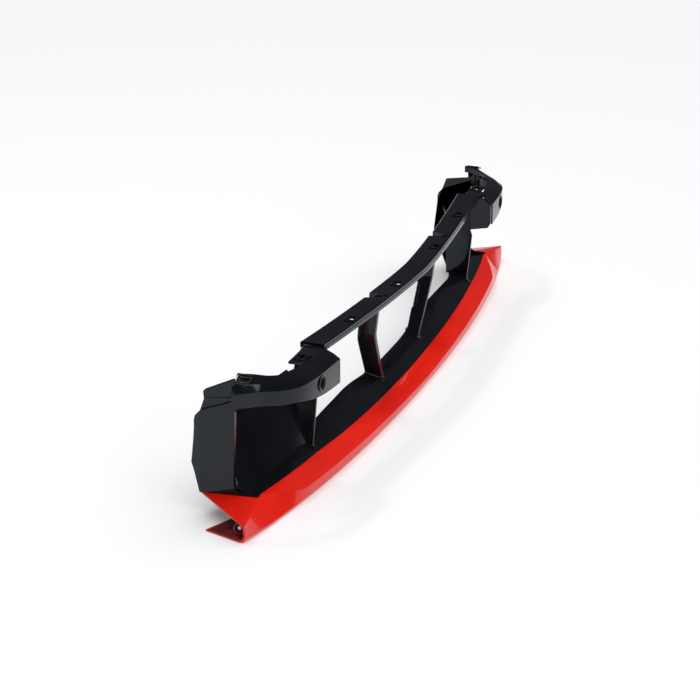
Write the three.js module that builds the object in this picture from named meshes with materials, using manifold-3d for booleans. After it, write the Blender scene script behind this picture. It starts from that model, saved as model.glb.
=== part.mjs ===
// Front bumper intake trim: a painted lower lip that carries a gloss black intake surround.
// Millimetres. X runs across the car, -Y is the front, +Z is up, and the lip stands on Z = 0.
import * as THREE from 'three';
import { mergeVertices } from 'three/addons/utils/BufferGeometryUtils.js';
import Module from 'manifold-3d';

const wasm = await Module();
wasm.setup();

// ---- driving dimensions ----
const gap = 0.3;              // clearance left between pieces that touch
const halfWidth = 580;        // centre to the outer corner of the lip
const noseSweep = 52.5;       // how far the lip's corner lies behind its middle
const noseLean = 0.5;         // how far the lip's face leans out past its foot
const lipSkin = 2.6;
const seamFront = 30;         // red to black seam, behind the nose, on the centre line
const seamSweep = 52;
const seamLow = 18;           // height of the seam on the centre line
const seamRise = 14;
const flangeDepth = 26;       // underside flange of the lip, front to back
const flangeTip = [564, 113]; // rear tip of the flange's wing
const cornerHeight = 24.8;
const deckSkin = 3;
const deckRearY = 66;
const deckLow = 39;           // rear edge height on the centre line
const deckHigh = 55;
const tuck = 9;               // how far the deck reaches under the lip
const finX = 354;             // centre plane of the fin between the middle and a side duct
const finSkin = 4;
const backSkin = 3;           // blank wall behind each side duct
const finReach = 15;          // how far the fin's foot runs back past the deck's rear edge
const wallX = 508;            // inner face of the side wall
const wallSkin = 3;
const wallRearY = 154.5;
const fasciaSkin = 3;
const openingSill = 33.5;     // lower edge of the side opening
const openingRear = 95;
const railTop = 181;          // top of the rail on the centre line
const railRise = 3;           // how much higher the rail's ends are
const hookDrop = 11;          // front top edge of the hook arms below the rail's top
const hookRise = 15;          // rear crest of the hook arms above that edge
const hookBand = 20;          // height of the hook arms' face beside the wall
const hookDip = 14;           // how much deeper the face is at the free end
const hookCorner = 24;        // width of the hook arm's top over the wall
const hookSkin = 3;
const sensorX = 413.7;
const sensorFaceY = 12;       // face of the hook arm at the sensor bore
const sensorDrop = 13.5;      // centre of the sensor bore below the hook's edge
const sensorRadius = 10;
const railFrontY = 5;
const railSweep = 26;
const stripHeight = 9.5;
const stripDepth = 3;
const trayDepth = 31;
const trayHeight = 8;
const traySkin = 2.4;
const notchX = 141.5;         // middle of the notch between two trays
const clipWidth = 15;
const clipLength = 11;
const strutWidth = 9;
const outerClipX = 247.5;
const innerClipX = 88.3;
const tabX = 397;
const tabFrontY = 38.3;
const tabSkin = 3;
const strutX = 87;            // middle of each strut's foot

const black = { color: 0x0b0c0f, roughness: 0.16, metalness: 0.0 };
const red = { color: 0xd3140c, roughness: 0.18, metalness: 0.0 };
const zinc = { color: 0x8d9094, roughness: 0.35, metalness: 0.9 };
const satin = { color: 0x15161a, roughness: 0.5, metalness: 0.0 };

// ---- helpers ----
const lerp = THREE.MathUtils.lerp;
const clamp = THREE.MathUtils.clamp;
const hookTop = railTop - hookDrop;
const hookCrest = hookTop + hookRise;
const openingHead = hookTop - hookBand;
const sensorZ = hookTop - sensorDrop;
const railEndX = finX - finSkin / 2 - gap;
const hookEndX = finX + finSkin / 2 + gap + hookSkin + 1.6;
const hookStartY = openingRear - 1;
const crestFrontY = hookStartY - 12;
const crestRearY = wallRearY - 20.5;
const finRear = [deckRearY + finReach, deckHigh - 5];
const wingRear = [wallX + wallSkin, wallRearY - 11.6, openingSill - 6];
const centreY = (wallRearY - noseLean) / 2;
const part = new THREE.Group();
part.position.set(0, -centreY, 0);

function addMesh(name, geometry, look) {
  const mesh = new THREE.Mesh(geometry, new THREE.MeshStandardMaterial(look));
  mesh.name = name;
  part.add(mesh);
  return mesh;
}

function signedVolume(points, faces) {
  let volume = 0;
  for (const [a, b, c] of faces) {
    volume += points[a].dot(points[b].clone().cross(points[c])) / 6;
  }
  return volume;
}

// Triangles of a flat outline, all turning the same way as the outline does.
function capTriangles(flat) {
  const triangles = THREE.ShapeUtils.triangulateShape(flat, []);
  const areas = triangles.map((corners) => THREE.ShapeUtils.area(corners.map((i) => flat[i])));
  const total = areas.reduce((sum, area) => sum + area, 0);
  const same = total * THREE.ShapeUtils.area(flat) > 0;
  return triangles.map(([a, b, c]) => (same ? [a, b, c] : [a, c, b]));
}

// A closed body through rings of equal length, capped at both ends.
// Each ring is { flat: outline as Vector2s, points: the same outline in space }.
function loft(rings) {
  const count = rings[0].points.length;
  const points = rings.flatMap((ring) => ring.points);
  const last = (rings.length - 1) * count;
  const faces = capTriangles(rings[0].flat).map(([a, b, c]) => [a, c, b]);
  for (let r = 0; r + 1 < rings.length; r += 1) {
    for (let i = 0; i < count; i += 1) {
      const a = r * count + i;
      const b = r * count + (i + 1) % count;
      faces.push([a, b, b + count], [a, b + count, a + count]);
    }
  }
  for (const [a, b, c] of capTriangles(rings[rings.length - 1].flat)) {
    faces.push([last + a, last + b, last + c]);
  }
  return closedGeometry(points, faces);
}

function closedGeometry(points, faces) {
  const outward = signedVolume(points, faces) > 0;
  const turned = outward ? faces : faces.map(([a, b, c]) => [a, c, b]);
  const geometry = new THREE.BufferGeometry();
  const flat = points.flatMap((p) => [p.x, p.y, p.z]);
  geometry.setAttribute('position', new THREE.Float32BufferAttribute(flat, 3));
  geometry.setIndex(turned.flat());
  return geometry;
}

// A ring at one x from an outline of [y, z] pairs; `at` may shift x by the pair's y.
function ringAcross(x, outline, at = () => x) {
  return {
    flat: outline.map(([y, z]) => new THREE.Vector2(y, z)),
    points: outline.map(([y, z]) => new THREE.Vector3(at(y), y, z)),
  };
}

// A plate with a [y, z] outline between two x values.
function plateAcross(xIn, xOut, outline) {
  return loft([ringAcross(xIn, outline), ringAcross(xOut, outline)]);
}

function spread(from, to, steps) {
  return Array.from({ length: steps + 1 }, (_, i) => lerp(from, to, i / steps));
}

function toSolid(geometry) {
  const bare = geometry.clone();
  bare.deleteAttribute('normal');
  bare.deleteAttribute('uv');
  const merged = mergeVertices(bare, 1e-4);
  return new wasm.Manifold(new wasm.Mesh({
    numProp: 3,
    vertProperties: new Float32Array(merged.attributes.position.array),
    triVerts: new Uint32Array(merged.index.array),
  }));
}

function toGeometry(solid) {
  const mesh = solid.getMesh();
  const geometry = new THREE.BufferGeometry();
  geometry.setAttribute('position', new THREE.BufferAttribute(mesh.vertProperties, 3));
  geometry.setIndex(new THREE.BufferAttribute(mesh.triVerts, 1));
  return geometry;
}

function cut(geometry, tools) {
  let solid = toSolid(geometry);
  for (const tool of tools) {
    solid = solid.subtract(toSolid(tool));
  }
  return toGeometry(solid);
}

function boxAt(x, y, z, width, depth, height) {
  return new THREE.BoxGeometry(width, depth, height).translate(x, y, z);
}

// Adds a piece on each end of the part, the right one as modelled and the left one mirrored.
function addPair(name, geometry, look) {
  addMesh(`${name}_right`, geometry, look);
  addMesh(`${name}_left`, mirrored(geometry), look);
}

function mirrored(geometry) {
  const copy = geometry.clone().scale(-1, 1, 1);
  const order = Array.from(copy.index.array);
  for (let i = 0; i < order.length; i += 3) {
    [order[i + 1], order[i + 2]] = [order[i + 2], order[i + 1]];
  }
  copy.setIndex(order);
  return copy;
}

// ---- the lip's and the deck's lines, as functions of the distance from the centre ----
const ridgeX = wallX - 5;
const share = (x) => Math.abs(x) / halfWidth;
const noseY = (x) => noseSweep * (0.72 * share(x) ** 2 + 0.28 * share(x) ** 4);
const seamY = (x) => seamFront + seamSweep * share(Math.min(Math.abs(x), ridgeX)) ** 3;
const seamZ = (x) => seamLow + seamRise * Math.min(1, share(x) / 0.62) ** 1.5;
const ridge = [seamY(ridgeX) - 3.5, seamZ(ridgeX) + 1.5];
const foldStartX = 0.74 * halfWidth;
const wingStartX = wallX + wallSkin + fasciaSkin + 3 * gap;
const lipCorner = [noseY(halfWidth) + 1, cornerHeight];

// Crease between the lip's front face and its top face, as [y, z].
function foldAt(x) {
  const reach = Math.abs(x);
  if (reach <= foldStartX) {
    return [noseY(reach) + 0.8 * share(reach), 11 + 8 * share(reach)];
  }
  if (reach <= ridgeX) {
    const u = (reach - foldStartX) / (ridgeX - foldStartX);
    const start = foldAt(foldStartX);
    return [lerp(start[0], ridge[0], u ** 1.35), lerp(start[1], ridge[1], u ** 1.35)];
  }
  const u = (reach - ridgeX) / (halfWidth - ridgeX);
  return [lerp(ridge[0], lipCorner[0], u), lerp(ridge[1], lipCorner[1], u)];
}

// Rear edge of the lip's top face, as [y, z].
function lipEdgeAt(x, onWing) {
  if (!onWing) {
    return [seamY(x), seamZ(x)];
  }
  const u = (Math.abs(x) - wingRear[0]) / (halfWidth - wingRear[0]);
  return [lerp(wingRear[1], lipCorner[0] + 3, u), lerp(wingRear[2], cornerHeight - 0.4, u)];
}

function flangeRearY(x) {
  const reach = Math.abs(x);
  const start = foldStartX;
  const middle = noseY(Math.min(reach, start)) + flangeDepth;
  if (reach <= start) {
    return middle;
  }
  if (reach <= flangeTip[0]) {
    return lerp(middle, flangeTip[1], (reach - start) / (flangeTip[0] - start));
  }
  const u = (reach - flangeTip[0]) / (halfWidth - flangeTip[0]);
  return lerp(flangeTip[1], noseY(halfWidth) + 9, u);
}

function lipSection(x, onWing) {
  const nose = noseY(x);
  const lift = 4 * clamp((Math.abs(x) - ridgeX) / (halfWidth - ridgeX), 0, 1) ** 2;
  const [fy, fz] = foldAt(x);
  const [ey, ez] = lipEdgeAt(x, onWing);
  const rear = flangeRearY(x);
  return [
    [rear, 0], [nose + 4, lift * 0.5], [nose + 1.2, lift + 0.8], [nose, lift + 3.6],
    [fy - noseLean, fz - 1.2], [fy + 0.6, fz], [ey, ez],
    [ey, ez - lipSkin], [fy + 2.2, fz - lipSkin - 0.5], [nose + lipSkin, lift + 4.6],
    [nose + 4.8, lift * 0.5 + lipSkin], [rear, lipSkin],
  ];
}

function lipStations() {
  const inner = spread(0, foldStartX, 24);
  const turn = spread(foldStartX, ridgeX, 7).slice(1);
  const outer = spread(wingStartX, flangeTip[0], 3);
  const side = [
    ...inner.map((x) => [x, false]), ...turn.map((x) => [x, false]),
    [wingStartX - 0.4, false], ...outer.map((x) => [x, true]), [halfWidth, true],
  ];
  const left = side.slice(1).map(([x, onWing]) => [-x, onWing]).reverse();
  return [...left, ...side];
}

function makeLip() {
  const rings = lipStations().map(([x, onWing]) => ringAcross(x, lipSection(x, onWing)));
  addMesh('lower_lip', loft(rings), red);
}

// Line of the deck's rear edge, as [y, z]; past the fin it runs back to the side wall.
function deckRearAt(x) {
  const reach = Math.abs(x);
  const climb = THREE.MathUtils.smoothstep(reach, 40, 200);
  if (reach <= finX - 70) {
    return [deckRearY, lerp(deckLow, deckHigh, climb)];
  }
  if (reach <= finX) {
    const u = (reach - finX + 70) / 70;
    return [lerp(deckRearY, finRear[0], u * u), lerp(deckHigh, finRear[1], u)];
  }
  const u = (reach - finX) / (wallX - finX);
  return [lerp(finRear[0], wingRear[1] - 2, u), lerp(finRear[1], wingRear[2] + 1, u)];
}

// Crown line of the deck between the seam and its rear edge, as [y, z].
function deckCrownAt(x) {
  const rz = deckRearAt(x)[1];
  const front = seamY(x) + gap;
  const [, ez] = lipEdgeAt(x, false);
  return [front + 14, ez + 0.62 * (rz - ez)];
}

// Height of the deck's upper face at a point.
function deckTop(x, y) {
  const [, ez] = lipEdgeAt(x, false);
  const line = [[seamY(x) + gap, ez], deckCrownAt(x), deckRearAt(x)];
  const [a, b] = y < line[1][0] ? [line[0], line[1]] : [line[1], line[2]];
  return lerp(a[1], b[1], (y - a[0]) / (b[0] - a[0]));
}

// Unit vector from the lip's crease towards its seam, as [y, z].
function lipSlope(x) {
  const [fy, fz] = foldAt(x);
  const [ey, ez] = lipEdgeAt(x, false);
  const length = Math.hypot(ey - fy, ez - fz);
  return [(ey - fy) / length, (ez - fz) / length];
}

function deckSection(x) {
  const [, ez] = lipEdgeAt(x, false);
  const front = seamY(x) + gap;
  const crown = deckCrownAt(x);
  const [ry, rz] = deckRearAt(x);
  const [sy, sz] = lipSlope(x);
  const [fy] = foldAt(x);
  const reach = clamp(0.5 * (front - fy) - 2, 0.5, tuck);
  const under = ez - lipSkin - 3 * gap;
  const foot = under - 2.4;
  return [
    [front, ez], crown, [ry, rz], [ry, rz - deckSkin], [crown[0] + 1, crown[1] - deckSkin],
    [front + 2.4, foot], [front - reach * sy, foot - reach * sz],
    [front - reach * sy, under - reach * sz], [front, under],
  ];
}

function makeDeck() {
  const centreEdge = finX - gap / 2;
  const rings = spread(-centreEdge, centreEdge, 44).map((x) => ringAcross(x, deckSection(x)));
  addMesh('centre_deck', loft(rings), black);
  const floorRings = [...spread(finX + gap / 2, ridgeX, 9), wallX - gap];
  const floor = loft(floorRings.map((x) => ringAcross(x, deckSection(x))));
  addPair('duct_floor', floor, black);
}

// Sloping blank wall behind each side duct, from the fin to the side wall.
function makeDuctBacks() {
  const from = finX + finSkin / 2 + gap;
  const to = wallX - gap;
  const rings = spread(from, to, 4).map((x) => {
    const [y, z] = deckRearAt(x);
    const top = lerp(hookTop - 27, hookTop - 55, (x - from) / (to - from));
    const near = y + gap;
    const far = near + backSkin;
    return ringAcross(x, [[near, z - deckSkin], [far, z - deckSkin], [far, top], [near, top]]);
  });
  addPair('duct_back', loft(rings), black);
}

function makeFins() {
  const inner = finX - finSkin / 2;
  const outer = finX + finSkin / 2;
  const foot = (y) => Math.max(deckTop(inner, y), deckTop(outer, y)) + gap;
  const crown = deckCrownAt(finX)[0];
  const top = railTop + railRise - 1.5;
  const level = (u) => lerp(finRear[1], top, u);
  const front = seamY(finX) + 5;
  const rear = finRear[0] + backSkin;
  const heel = finRear[0] - 1;
  const outline = [
    [front, foot(front)], [crown, foot(crown)], [heel + 0.5, foot(heel)], [rear, foot(heel)],
    [rear, level(0.36)], [deckRearY - 6, top], [deckRearY - 19, top],
    [deckRearY - 19.5, level(0.6)], [deckRearY - 24.5, level(0.48)],
  ];
  addPair('duct_fin', plateAcross(inner, outer, outline), black);
}

// ---- side walls ----
const wallFrontY = ridge[0] - 18;
const sillFront = seamY(ridgeX) + 2 * gap;

function openingCutter() {
  const edge = new THREE.Shape();
  const head = openingHead;
  edge.moveTo(0, openingSill - 30);
  edge.lineTo(sillFront, openingSill - 30);
  edge.lineTo(sillFront, openingSill);
  edge.lineTo(76, openingSill);
  edge.quadraticCurveTo(openingRear - 1, openingSill + 1, openingRear, openingSill + 25);
  edge.lineTo(openingRear - 3, head - 10);
  edge.quadraticCurveTo(openingRear - 3.5, head, hookStartY - 11, head);
  edge.lineTo(hookStartY - 11, 400);
  edge.lineTo(0, 400);
  const outline = edge.getPoints(8).map((p) => [p.x, p.y]);
  return plateAcross(wallX - 20, wallX + 20, outline);
}

// Upper edge of the fascia, falling towards the rear.
const seamRear = [wallRearY - 15.5, hookTop - 29];
const seamLine = (y) => lerp(seamRear[1], hookTop, (seamRear[0] - y) / (seamRear[0] - crestFrontY));

// Upper edge of the side wall behind the hook.
function wallCrest(y) {
  if (y < hookStartY) {
    return lerp(hookTop + 1, hookTop - 6, (y - crestFrontY) / (hookStartY - crestFrontY));
  }
  return lerp(hookTop - 6, hookTop - 12, (y - hookStartY) / (crestRearY - hookStartY));
}

function makeSideWalls() {
  const outline = [
    [wallFrontY, openingSill - 5], [wingRear[1], wingRear[2] + gap], [wallRearY, openingSill + 33],
    [wallRearY - 5.5, hookTop - 55], [crestRearY, wallCrest(crestRearY)],
    [hookStartY, wallCrest(hookStartY)], [crestFrontY, wallCrest(crestFrontY)],
    [wallFrontY, wallCrest(crestFrontY)],
  ];
  const plate = plateAcross(wallX, wallX + wallSkin, outline);
  addPair('side_wall', cut(plate, [openingCutter()]), black);
}

// Outer fascia of the side wall; its rear margin turns in towards the wall's rear edge.
function makeFascias() {
  const inner = wallX + wallSkin + gap;
  const rearMargin = 10;
  const foldY = wallRearY - 12;
  const stations = [
    [wallFrontY, 0], [openingRear + 5, 0], [foldY - 1, 0], [foldY, 0.2],
    [foldY + rearMargin, fasciaSkin - 0.5],
  ];
  const rings = stations.map(([y, taper]) => {
    const run = (y - wallFrontY) / (foldY - wallFrontY);
    const past = Math.max(0, y - foldY);
    const low = lerp(openingSill - 4, wingRear[2] + 1, Math.min(1, run)) + 2.6 * past;
    const high = y < foldY - 3 ? seamLine(y) : seamLine(foldY - 3) - 1.8 * (y - foldY + 3);
    const outer = inner + fasciaSkin - taper;
    const flat = [[inner, low], [outer, low], [outer, high], [inner, high]];
    return {
      flat: flat.map(([x, z]) => new THREE.Vector2(x, z)),
      points: flat.map(([x, z]) => new THREE.Vector3(x, y, z)),
    };
  });
  addPair('side_fascia', cut(loft(rings), [openingCutter()]), black);
}

// Raised shoulder on top of the left side wall only.
function makeShoulder() {
  const front = hookStartY + gap;
  const rear = crestRearY - 1;
  const crest = (y) => hookCrest + 2 - 0.47 * (y - front);
  const outline = [
    [front, wallCrest(front) + gap], [rear, wallCrest(rear) + gap], [rear + 2, crest(rear) - 6],
    [rear - 2, crest(rear - 2)], [front, crest(front)],
  ];
  addMesh('left_shoulder', mirrored(plateAcross(wallX - 1, wallX + wallSkin, outline)), black);
}

// ---- hook arms ----
const hookFace = wallX + wallSkin + gap + fasciaSkin;   // flush with the fascia's outer face
const hookPath = new THREE.CatmullRomCurve3([
  [hookFace, crestFrontY], [wallX - 4, 62], [wallX - 17, 46], [wallX - 30, 31],
  [wallX - 52, 19.5], [sensorX + 6, sensorFaceY + 1], [hookEndX, sensorFaceY - 3.5],
].map(([x, y]) => new THREE.Vector3(x, y, 0)));
const hookDepths = [hookCorner, 23, 19, 22, 27, 25.5, 21];

function hookDepth(u) {
  const place = u * (hookDepths.length - 1);
  const i = Math.min(Math.floor(place), hookDepths.length - 2);
  return lerp(hookDepths[i], hookDepths[i + 1], place - i);
}

function hookSection(u, depth, low, top = hookTop) {
  const rise = THREE.MathUtils.smoothstep(u, 0, 0.45);
  const crest = lerp(hookCrest + 5.5, hookCrest - 2.5, rise);
  const facet = [lerp(3.5, 9, rise), lerp(hookTop + 13, hookTop + 6.5, rise)];
  const skirt = lerp(crest - 12, crest - hookSkin - 1, THREE.MathUtils.smoothstep(u, 0.1, 0.4));
  const t = hookSkin;
  return [
    [0, low], [0, top - 0.6], [0.6, top], facet, [depth - 0.8, crest], [depth, crest - 0.8],
    [depth, skirt], [depth - t, skirt - 0.01], [depth - t, crest - t],
    [facet[0] + t * 0.6, facet[1] - t * 0.9], [t, top - t], [t, low],
  ];
}

function hookRing(point, normal, outline) {
  return {
    flat: outline.map(([n, z]) => new THREE.Vector2(n, z)),
    points: outline.map(([n, z]) => new THREE.Vector3(point.x + normal.x * n, point.y + normal.y * n, z)),
  };
}

// Snap clip in the broad corner of the hook's top, tilted with the surface it sits in.
const cornerClip = {
  tilt: 0.364,
  place: [hookFace - hookCorner / 2, crestFrontY + 1, hookTop + 16.3],
};

function seatInCorner(geometry) {
  return geometry.rotateY(cornerClip.tilt).translate(...cornerClip.place);
}

function makeHookArms() {
  const inward = new THREE.Vector3(-1, 0, 0);
  const overWall = hookSection(0, hookCorner, hookTop + 1.5, hookTop + 5.5);
  const chamfered = overWall.map(([n, z]) => [n, z > hookTop + 7 ? z - 4 : z]);
  const start = new THREE.Vector3(hookFace, 0, 0);
  const at = (y) => start.clone().setY(y);
  const rings = [
    hookRing(at(hookStartY), inward, chamfered), hookRing(at(hookStartY - 7), inward, overWall),
    hookRing(at(hookStartY - 11.4), inward, overWall),
  ];
  const steps = 26;
  for (const u of spread(0, 1, steps)) {
    const point = hookPath.getPoint(u);
    const along = hookPath.getTangent(u);
    const normal = u === 0 ? inward : new THREE.Vector3(along.y, -along.x, 0).normalize();
    const low = openingHead - hookDip * THREE.MathUtils.smoothstep(u, 0.5, 1);
    rings.push(hookRing(point, normal, hookSection(u, hookDepth(u), low)));
  }
  const bore = new THREE.CylinderGeometry(sensorRadius, sensorRadius, 30, 40);
  bore.translate(sensorX, sensorFaceY, sensorZ);
  const window = seatInCorner(new THREE.BoxGeometry(clipLength, clipWidth, 20));
  addPair('hook_arm', cut(loft(rings), [bore, window]), black);
  addPair('corner_clip', seatInCorner(clipGeometry(0, 0, 0).rotateZ(Math.PI / 2)), satin);
}

// Ribbed socket for a parking sensor, seated in the bore of the hook's face.
function makeSensorHolders() {
  const outer = sensorRadius - gap;
  const profile = [
    [outer - 2.2, 0], [outer, 0], [outer, 12], [outer - 3.4, 12], [outer - 3.4, 9], [outer - 2.2, 8],
    [outer - 2.2, 0],
  ];
  const ring = new THREE.LatheGeometry(profile.map(([r, h]) => new THREE.Vector2(r, h)), 36);
  addPair('sensor_holder', solidCopy(ring.translate(sensorX, sensorFaceY + 0.4, sensorZ)), satin);
}

const solidCopy = (geometry) => toGeometry(toSolid(geometry));

// End plate that closes the free end of the hook.
function makeHookEnds() {
  const low = openingHead - hookDip;
  const front = sensorFaceY - 0.2;
  const outline = [
    [front, low], [front + 4.2, low - 7], [front + 34.2, low - 13], [front + 37.2, hookTop - 10],
    [front + 33.2, hookTop + 2], [front + 18.2, hookTop + 8], [front + 8.2, hookTop + 2],
    [front, hookTop - 3.5],
  ];
  const outer = hookEndX - 1.6;
  addPair('hook_end', plateAcross(outer - hookSkin, outer, outline), black);
}

// ---- upper rail ----
const railZ = (x) => railTop + railRise * (x / railEndX) ** 2;
const railY = (x) => railFrontY + railSweep * (Math.abs(x) / 340) ** 1.4;

function makeRailStrip() {
  const rings = spread(-railEndX, railEndX, 44).map((x) => {
    const y = railY(x);
    const z = railZ(x);
    const low = z - stripHeight;
    return ringAcross(x, [
      [y + 0.6, low], [y, low + 0.6], [y, z - 4], [y + 0.7, z - 3.6], [y + 0.7, z - 0.7], [y + 1.3, z],
      [y + stripDepth, z], [y + stripDepth, low],
    ]);
  });
  addMesh('rail_front_strip', loft(rings), black);
}

// A tray is a shallow cover, open below, whose ends slant by `slants` from front to back.
function makeTray(name, ends, slants, clips) {
  const front = (x) => railY(x) + stripDepth + gap;
  const inset = traySkin / (ends[1] - ends[0]);
  const shares = [0, inset, inset * 1.05, ...spread(0.06, 0.94, 12), 1 - inset * 1.05, 1 - inset, 1];
  const rings = shares.map((u) => {
    const x = lerp(ends[0], ends[1], u);
    const y = front(x);
    const z = railZ(x);
    const wall = u > inset && u < 1 - inset ? traySkin : trayHeight - 0.1;
    const outline = [
      [y, z - 0.7], [y + 0.7, z], [y + trayDepth - 1, z], [y + trayDepth, z - 1],
      [y + trayDepth, z - trayHeight], [y + trayDepth - traySkin, z - trayHeight],
      [y + trayDepth - traySkin, z - wall], [y, z - wall],
    ];
    const slant = lerp(slants[0], slants[1], u);
    return ringAcross(x, outline, (py) => x + slant * (py - y) / trayDepth);
  });
  const windows = clips.map((x) => boxAt(x, clipY(x), railZ(x), clipWidth, clipLength, 20));
  addMesh(name, cut(loft(rings), windows), black);
}

const clipY = (x) => railY(x) + stripDepth + 3.5 + clipLength / 2;

function makeTrays() {
  const half = notchX - 1.5;
  makeTray('rail_tray_centre', [-half, half], [5, -5], [-innerClipX, innerClipX]);
  makeTray('rail_tray_right', [notchX + 1.5, railEndX], [15, 0], [outerClipX]);
  makeTray('rail_tray_left', [-railEndX, -notchX - 1.5], [0, -15], [-outerClipX]);
}

// Snap clip: a small bridge with a sloping catch, seated in its window.
function clipGeometry(x, y, z) {
  const half = clipLength / 2 - gap;
  const outline = [
    [y - half, z - 1.2], [y - half + 2.5, z - 1.2], [y - half + 2.8, z - 3], [y + half - 2, z - 3.6],
    [y + half - 2, z - 0.6], [y + half, z - 0.6], [y + half, z - 5.4], [y - half, z - 5.4],
  ];
  return plateAcross(x - clipWidth / 2 + gap, x + clipWidth / 2 - gap, outline);
}

function makeClips() {
  for (const [name, x] of [['outer', outerClipX], ['inner', innerClipX]]) {
    addPair(`rail_clip_${name}`, clipGeometry(x, clipY(x), railZ(x)), satin);
  }
}

// Tab with a clip window behind each hook arm.
function makeTabs() {
  const width = 36;
  const depth = 20;
  const top = railTop - 0.5;
  const y = tabFrontY + depth / 2;
  const plate = new THREE.BoxGeometry(width, depth, tabSkin).translate(tabX, y, top - tabSkin / 2);
  const window = boxAt(tabX, y, top, clipWidth, clipLength, 20);
  addPair('clip_tab', cut(plate, [window]), black);
  addPair('tab_clip', clipGeometry(tabX, y, top), satin);
}

// ---- struts ----
function makeStruts() {
  const half = strutWidth / 2;
  const top = railZ(notchX) - trayHeight - gap;
  const topY = railY(notchX);
  const levels = [
    { front: [strutX - 5, deckRearY - 22], rear: [strutX + 6, deckRearY - 2.5] },
    { front: [notchX - 9, deckRearY - 28], rear: [notchX - 4, deckRearY - 3.5], rise: [0.52, 0.48] },
    { front: [notchX - 9, deckRearY - 32], rear: [notchX - 4, deckRearY - 7], rise: [0.81, 0.81] },
    { front: [notchX - 0.5, topY + 14], rear: [notchX + 2.5, topY + 27], rise: [1, 1] },
  ];
  const rings = levels.map(({ front, rear, rise }) => {
    const middleY = rise ? (front[1] + rear[1]) / 2 : deckCrownAt(strutX)[0];
    const u = (middleY - front[1]) / (rear[1] - front[1]);
    const middle = [lerp(front[0], rear[0], u), middleY];
    const spine = [front, middle, rear];
    const onDeck = (p) => deckTop(p[0], p[1]) + gap + 0.4;
    const height = (p, i) => (rise ? lerp(deckHigh, top, lerp(rise[0], rise[1], i / 2)) : onDeck(p));
    const outline = [
      ...spine.map((p, i) => [p[0] - half, p[1], i]),
      ...spine.map((p, i) => [p[0] + half, p[1], i]).reverse(),
    ];
    return {
      flat: outline.map(([x, y]) => new THREE.Vector2(x, y)),
      points: outline.map(([x, y, i]) => new THREE.Vector3(x, y, height([x, y], i))),
    };
  });
  addPair('rail_strut', loft(rings), black);
}

// ---- lip ends and fasteners ----
function makeLipEnds() {
  const outer = 8;
  const inner = 5.2;
  const length = 14;
  const x = flangeTip[0] - 11;
  const y = noseY(x) + 20;
  const z = lipSkin + gap + outer + 1.4;
  const wall = [[inner, 0], [outer, 0], [outer, length], [inner, length], [inner, 0]];
  const tube = new THREE.LatheGeometry(wall.map(([r, h]) => new THREE.Vector2(r, h)), 28);
  tube.rotateZ(-Math.PI / 2).translate(x, y, z);
  addPair('lip_end_boss', solidCopy(tube), red);
  const head = inner - gap;
  const shank = [[0, 1], [head, 1], [head, 4], [head * 0.5, 4.4], [head * 0.5, 12], [0, 12]];
  const screw = new THREE.LatheGeometry(shank.map(([r, h]) => new THREE.Vector2(r, h)), 20);
  screw.rotateZ(-Math.PI / 2).translate(x, y, z);
  addPair('lip_end_screw', solidCopy(screw), zinc);
}

// Screws that clamp the deck's front edge up against the lip, seen from below.
function makeDeckScrews() {
  const places = [0.17, 0.51, 0.85].map((u) => u * finX);
  places.forEach((x, i) => {
    const section = deckSection(x);
    const [a, b] = [section[5], section[6]];
    const slope = Math.atan2(a[1] - b[1], a[0] - b[0]);
    const head = new THREE.CylinderGeometry(3.4, 3.4, 2.2, 20).rotateX(Math.PI / 2 + slope);
    const drop = 1.1 + gap;
    const y = (a[0] + b[0]) / 2 + Math.sin(slope) * drop;
    const z = (a[1] + b[1]) / 2 - Math.cos(slope) * drop - 0.3;
    addPair(`deck_screw_${i + 1}`, solidCopy(head.translate(x, y, z)), zinc);
  });
}

makeLip();
makeDeck();
makeDuctBacks();
makeFins();
makeSideWalls();
makeFascias();
makeShoulder();
makeHookArms();
makeSensorHolders();
makeHookEnds();
makeRailStrip();
makeTrays();
makeClips();
makeTabs();
makeStruts();
makeLipEnds();
makeDeckScrews();

export default part;
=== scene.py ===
import math

import bmesh
import bpy
from mathutils import Matrix, Vector


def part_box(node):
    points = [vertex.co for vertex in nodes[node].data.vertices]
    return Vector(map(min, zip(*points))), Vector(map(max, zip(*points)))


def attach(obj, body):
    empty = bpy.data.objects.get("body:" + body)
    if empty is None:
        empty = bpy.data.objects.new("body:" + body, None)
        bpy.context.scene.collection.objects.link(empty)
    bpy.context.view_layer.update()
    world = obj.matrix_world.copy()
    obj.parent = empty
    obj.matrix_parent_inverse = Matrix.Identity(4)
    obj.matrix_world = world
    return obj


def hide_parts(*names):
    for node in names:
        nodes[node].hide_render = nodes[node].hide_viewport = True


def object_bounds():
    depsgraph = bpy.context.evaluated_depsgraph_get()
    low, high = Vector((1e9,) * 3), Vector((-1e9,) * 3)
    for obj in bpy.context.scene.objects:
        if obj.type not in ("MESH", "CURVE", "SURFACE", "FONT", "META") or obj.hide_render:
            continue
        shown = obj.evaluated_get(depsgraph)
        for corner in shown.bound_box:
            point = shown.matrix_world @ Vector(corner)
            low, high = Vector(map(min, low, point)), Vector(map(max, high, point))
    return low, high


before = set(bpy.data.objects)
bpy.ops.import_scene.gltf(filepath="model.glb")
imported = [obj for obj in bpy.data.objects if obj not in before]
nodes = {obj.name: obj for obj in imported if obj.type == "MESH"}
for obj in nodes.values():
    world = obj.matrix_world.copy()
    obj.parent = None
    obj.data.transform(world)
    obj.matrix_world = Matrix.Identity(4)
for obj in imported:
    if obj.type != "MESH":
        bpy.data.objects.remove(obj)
cad_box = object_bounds()
SIDES = (("right", 1), ("left", -1))

# Lengths are in millimetres: x out from the centre, y back from the lip's foot on the centre
# line, z up from the floor. An outline is a list of (y, z), and of (y, z, radius) where it goes
# through rounded().
MM = 0.001


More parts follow.
